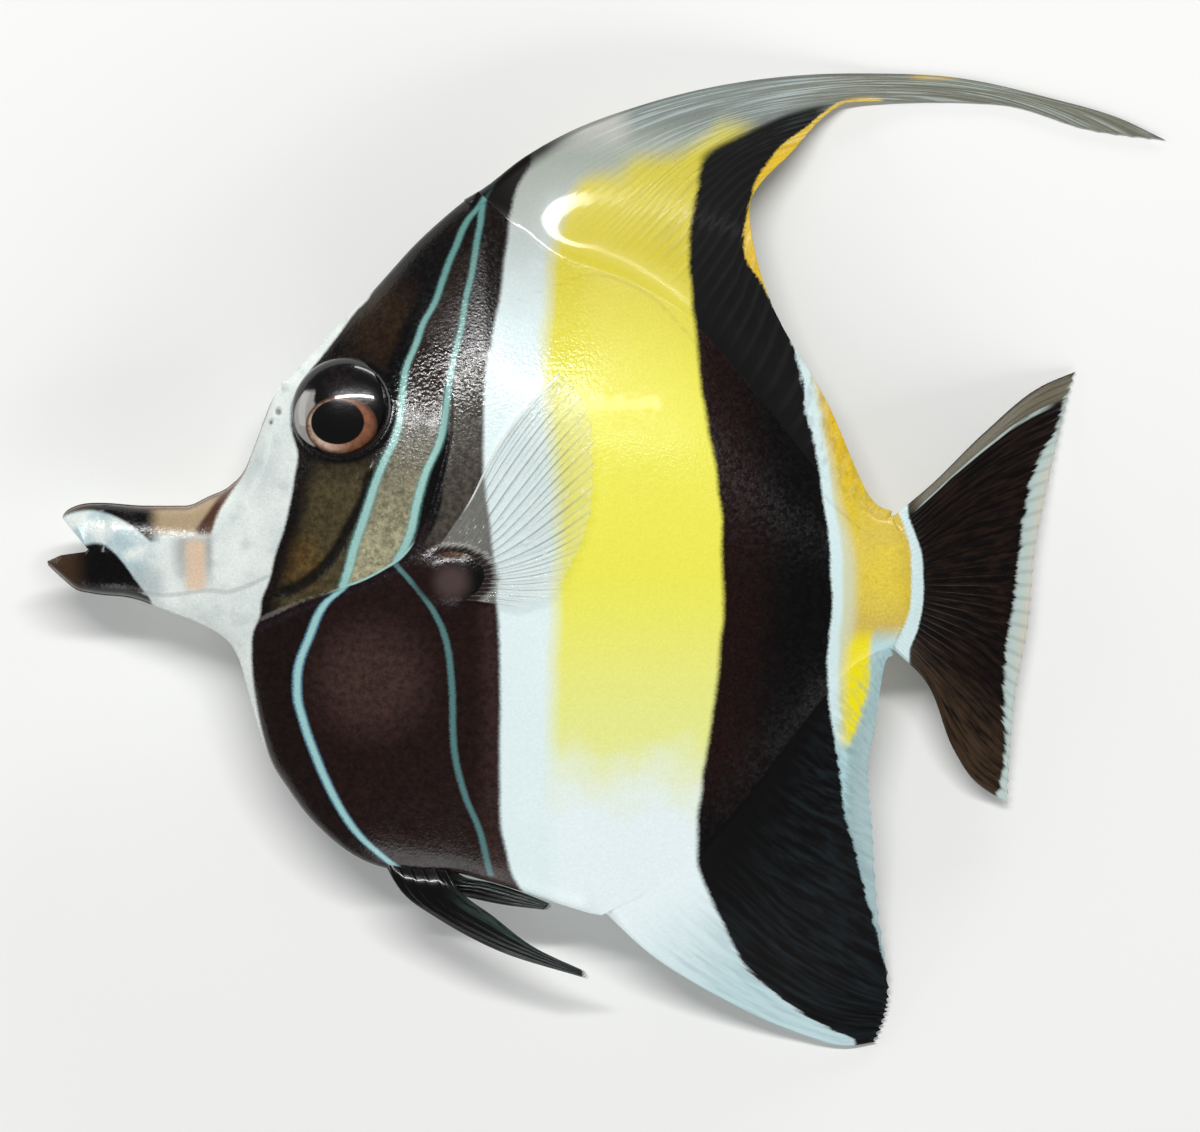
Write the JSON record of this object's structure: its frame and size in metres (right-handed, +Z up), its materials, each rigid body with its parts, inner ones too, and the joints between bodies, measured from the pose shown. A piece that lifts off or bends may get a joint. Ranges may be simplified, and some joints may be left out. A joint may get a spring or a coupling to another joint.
{
  "type": "moorish idol fish",
  "caption": "Still life-size model of a moorish idol, a deep flat reef fish with a long snout, banded body and trailing dorsal filament, lying on its right side.",
  "frame": {"origin": "on the surface that the fish lies on, under the middle of its bounding box", "axes": "-X towards the snout, +Y towards the back and the dorsal fin, +Z up out of the left flank"},
  "size_m": [0.1183, 0.1031, 0.0186],
  "materials": {
    "pale_skin": "wet white fish skin with a bluish cast",
    "dark_skin": "wet black-brown fish skin",
    "yellow_skin": "wet lemon-yellow skin with fine scales, banded black and white",
    "clear_fin": "wet grey-white fin membrane with fine rays",
    "dark_fin": "wet black fin membrane with fine rays and a pale margin",
    "eye": "clear wet eye with a dark brown iris"
  },
  "bodies": {
    "root": {"head": "pale_skin", "upper_lip": "pale_skin", "lower_jaw": "dark_skin", "gill_cover_left": "dark_skin", "gill_cover_right": "dark_skin", "eye_left": "eye", "eye_right": "eye", "torso": "yellow_skin", "tail_stalk": "yellow_skin", "dorsal_fin": "clear_fin", "dorsal_fin_rear": "dark_fin", "dorsal_streamer": "clear_fin", "anal_fin": "dark_fin", "caudal_fin": "dark_fin", "pectoral_fin_left": "clear_fin", "pectoral_fin_right": "clear_fin", "pelvic_fin_left": "dark_fin", "pelvic_fin_right": "dark_fin"}
  },
  "joints": []
}
